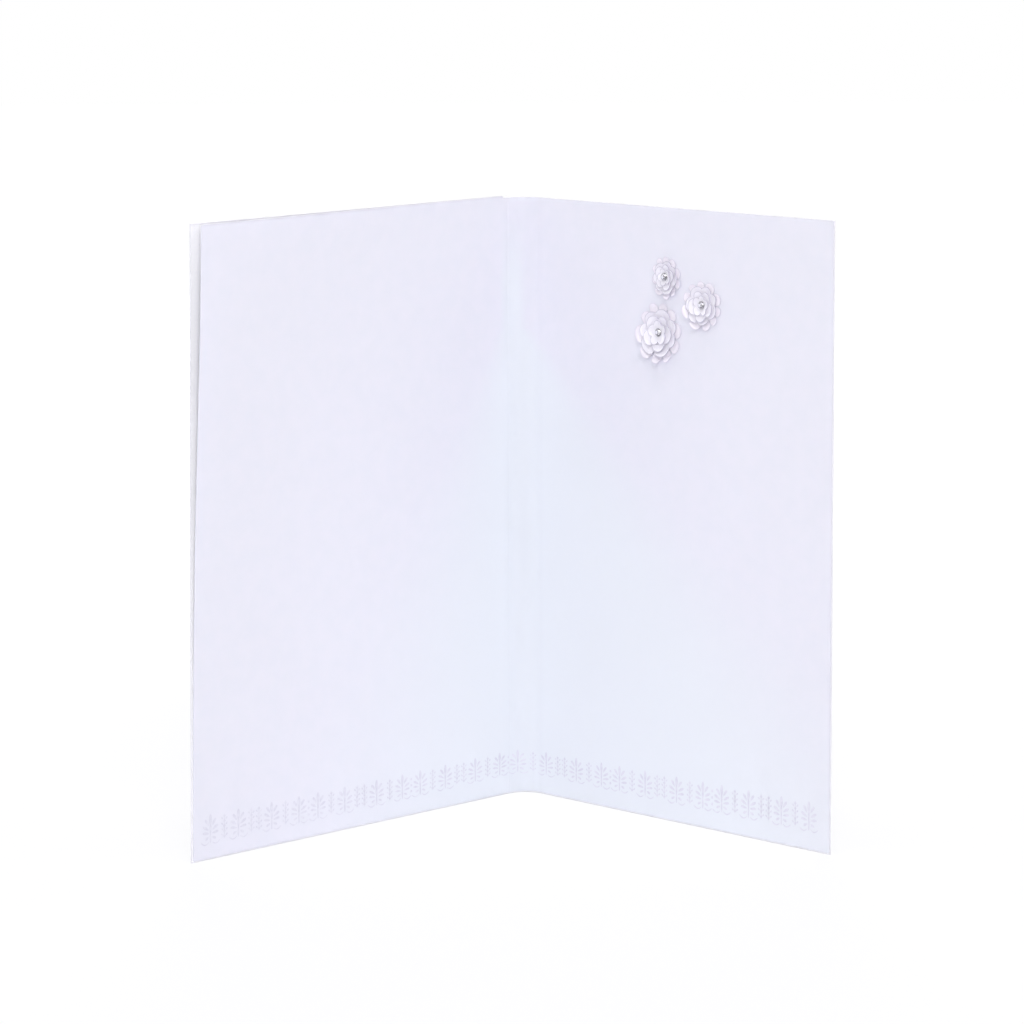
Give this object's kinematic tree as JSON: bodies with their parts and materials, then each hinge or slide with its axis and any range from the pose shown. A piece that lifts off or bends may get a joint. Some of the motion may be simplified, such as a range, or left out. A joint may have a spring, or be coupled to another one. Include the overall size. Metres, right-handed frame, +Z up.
{
  "type": "greeting card",
  "caption": "Folded white card standing open like a screen, with a smooth inner sheet bordered along its foot and layered paper flowers with small stones near the top of its right page.",
  "frame": {"origin": "foot of the score between the two leaves, on the bottom edge of the cover, which stands on the table at z = 0", "axes": "+Z up along the fold, -Y the way the open card faces, +X to the right of someone looking at the open pages"},
  "size_m": [0.211, 0.114, 0.2107],
  "materials": {
    "cover_board": "white felt-marked card",
    "insert_paper": "smooth white paper with a pearl tint",
    "petal_paper": "soft white handmade paper",
    "stone": "polished facets over a silver foil back"
  },
  "bodies": {
    "root": {"cover": "cover_board", "insert": "insert_paper", "small_flower_base": "petal_paper", "small_flower_outer": "petal_paper", "small_flower_inner": "petal_paper", "small_flower_heart": "petal_paper", "small_flower_stone": "stone", "medium_flower_base": "petal_paper", "medium_flower_outer": "petal_paper", "medium_flower_inner": "petal_paper", "medium_flower_heart": "petal_paper", "medium_flower_stone": "stone", "large_flower_base": "petal_paper", "large_flower_outer": "petal_paper", "large_flower_inner": "petal_paper", "large_flower_heart": "petal_paper", "large_flower_stone": "stone"}
  },
  "joints": []
}
